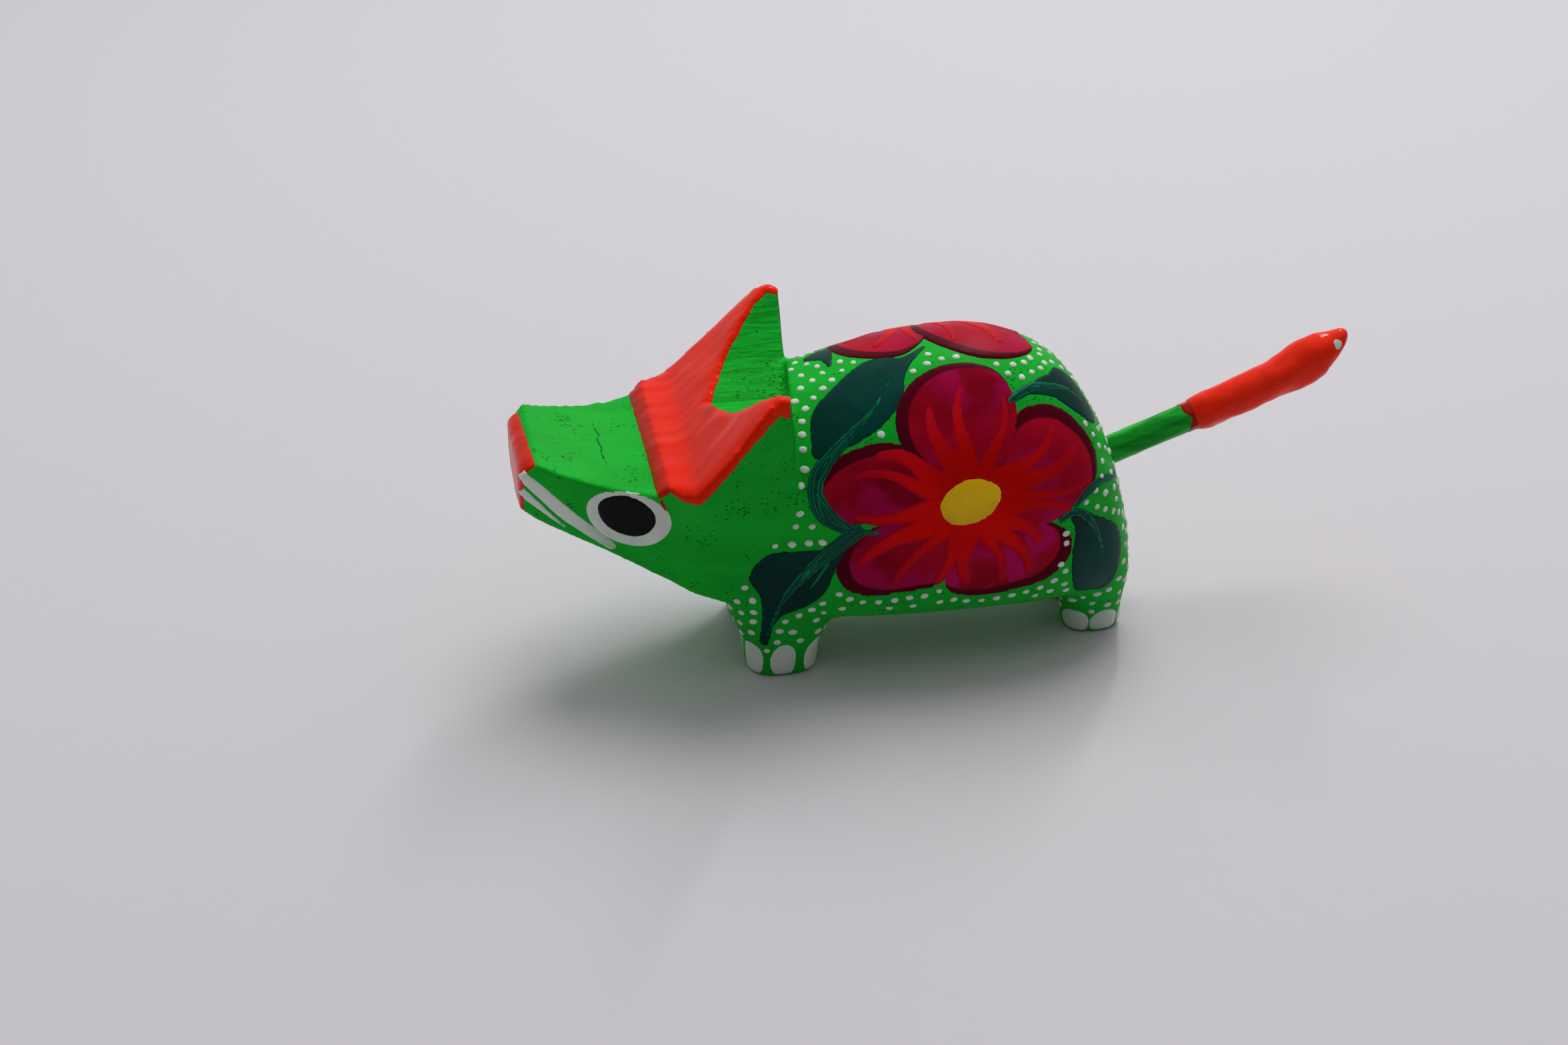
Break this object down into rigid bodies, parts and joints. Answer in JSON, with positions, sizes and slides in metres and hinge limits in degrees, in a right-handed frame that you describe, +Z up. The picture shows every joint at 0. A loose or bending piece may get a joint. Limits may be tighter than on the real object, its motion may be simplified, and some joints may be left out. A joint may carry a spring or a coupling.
{
  "type": "alebrije figure",
  "caption": "Small painted carved-wood animal with upturned snout, flared ears, stub legs, a push-in stick tail, and floral and dotted paintwork.",
  "frame": {"origin": "on the table under the middle of the whole figure's box, level with the flat soles", "axes": "+Z up; -Y is the way the animal faces, +Y the way its tail points; +X is its own left side"},
  "size_m": [0.0314, 0.0913, 0.0356],
  "materials": {
    "green_paint": "bright green acrylic brushed over carved soft wood, satin, with fine open pores",
    "red_paint": "thick glossy vermilion paint over wood",
    "white_paint": "satin white paint over wood",
    "black_paint": "satin black paint over wood",
    "yellow_paint": "satin mustard yellow paint over wood",
    "crimson_paint": "satin crimson petals with magenta shading and red strokes",
    "teal_paint": "satin dark teal leaves with lighter brush strokes"
  },
  "bodies": {
    "figure": {"carved_body": "green_paint", "crest_and_ear_coat": "red_paint", "nose_coat": "red_paint", "eye_white_left": "white_paint", "eye_pupil_left": "black_paint", "eye_white_right": "white_paint", "eye_pupil_right": "black_paint", "flower_centre_left": "yellow_paint", "flower_centre_right": "yellow_paint", "toenail_front_left_1": "white_paint", "toenail_front_left_2": "white_paint", "toenail_front_left_3": "white_paint", "toenail_hind_left_1": "white_paint", "toenail_hind_left_2": "white_paint", "toenail_hind_left_3": "white_paint", "toenail_front_right_1": "white_paint", "toenail_front_right_2": "white_paint", "toenail_front_right_3": "white_paint", "toenail_hind_right_1": "white_paint", "toenail_hind_right_2": "white_paint", "toenail_hind_right_3": "white_paint"},
    "tail": {"tail_stick": "green_paint", "tail_tip_coat": "red_paint"}
  },
  "joints": [
    {"name": "tail_pull", "type": "slide", "parent": "figure", "child": "tail", "axis": [0, 0.9367, 0.3502], "range_m": [0, 0.0065]}
  ]
}
